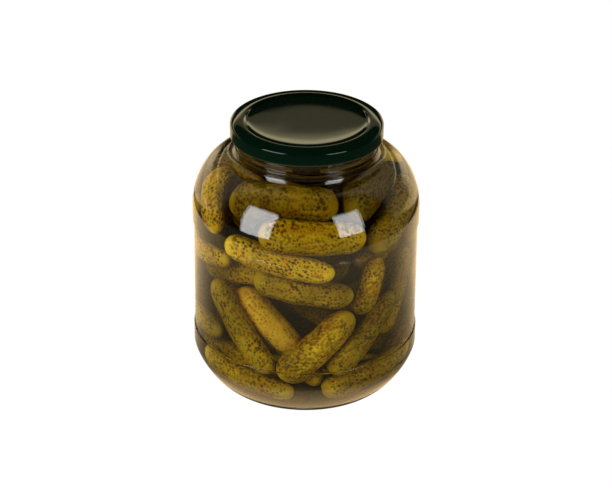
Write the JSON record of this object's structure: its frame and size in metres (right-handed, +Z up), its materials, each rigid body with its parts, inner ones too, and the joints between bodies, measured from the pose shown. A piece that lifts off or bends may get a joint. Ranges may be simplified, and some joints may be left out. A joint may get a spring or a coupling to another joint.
{
  "type": "jar of gherkins",
  "caption": "Round wide-mouth glass jar with a dark green twist-off lid, packed with pickled gherkins in brine.",
  "frame": {"origin": "centre of the ring on the base that the jar stands on, at table height", "axes": "+Z up along the jar's axis, the picture looks along +Y, +X to the right in it"},
  "size_m": [0.1558, 0.1558, 0.1929],
  "materials": {
    "glass": "gloss",
    "enamel": "gloss",
    "compound": "matte",
    "brine": "gloss",
    "skin_light": "satin",
    "skin_olive": "satin",
    "skin_dark": "satin"
  },
  "bodies": {
    "jar": {"glass_jar": "glass", "brine": "brine", "core_gherkin_1": "skin_dark", "core_gherkin_2": "skin_dark", "core_gherkin_3": "skin_dark", "core_gherkin_4": "skin_dark", "core_gherkin_5": "skin_dark", "core_gherkin_6": "skin_dark", "core_gherkin_7": "skin_dark", "core_gherkin_8": "skin_dark", "gherkin_01": "skin_light", "gherkin_02": "skin_light", "gherkin_03": "skin_light", "gherkin_04": "skin_olive", "gherkin_05": "skin_dark", "gherkin_06": "skin_dark", "gherkin_07": "skin_light", "gherkin_08": "skin_olive", "gherkin_09": "skin_olive", "gherkin_10": "skin_light", "gherkin_11": "skin_dark", "gherkin_12": "skin_light", "gherkin_13": "skin_olive", "gherkin_14": "skin_light", "gherkin_15": "skin_olive", "gherkin_16": "skin_light", "gherkin_17": "skin_light", "gherkin_18": "skin_olive", "gherkin_19": "skin_light", "gherkin_20": "skin_light", "gherkin_21": "skin_olive", "gherkin_22": "skin_dark", "gherkin_23": "skin_light", "gherkin_24": "skin_olive", "gherkin_25": "skin_dark", "gherkin_26": "skin_dark", "gherkin_27": "skin_dark", "gherkin_28": "skin_dark", "gherkin_29": "skin_dark", "gherkin_30": "skin_light", "gherkin_31": "skin_olive", "gherkin_32": "skin_dark", "gherkin_33": "skin_light", "gherkin_34": "skin_olive", "gherkin_35": "skin_dark", "gherkin_36": "skin_light", "gherkin_37": "skin_olive", "gherkin_38": "skin_dark", "gherkin_39": "skin_light", "gherkin_40": "skin_olive", "gherkin_41": "skin_dark", "gherkin_42": "skin_light", "gherkin_43": "skin_olive", "gherkin_44": "skin_dark", "gherkin_45": "skin_light", "gherkin_46": "skin_olive", "gherkin_47": "skin_dark", "gherkin_48": "skin_light"},
    "seal": {"sealing_compound": "compound"},
    "lid": {"lid": "enamel"}
  },
  "joints": [
    {"name": "lid_lift", "type": "slide", "parent": "jar", "child": "seal", "axis": [0, 0, 1], "range_m": [0, 0.1]},
    {"name": "lid_turn", "type": "hinge", "parent": "seal", "child": "lid", "pos_m": [0, 0, 0.1874], "axis": [0, 0, 1], "range_deg": [0, 43.5]}
  ]
}
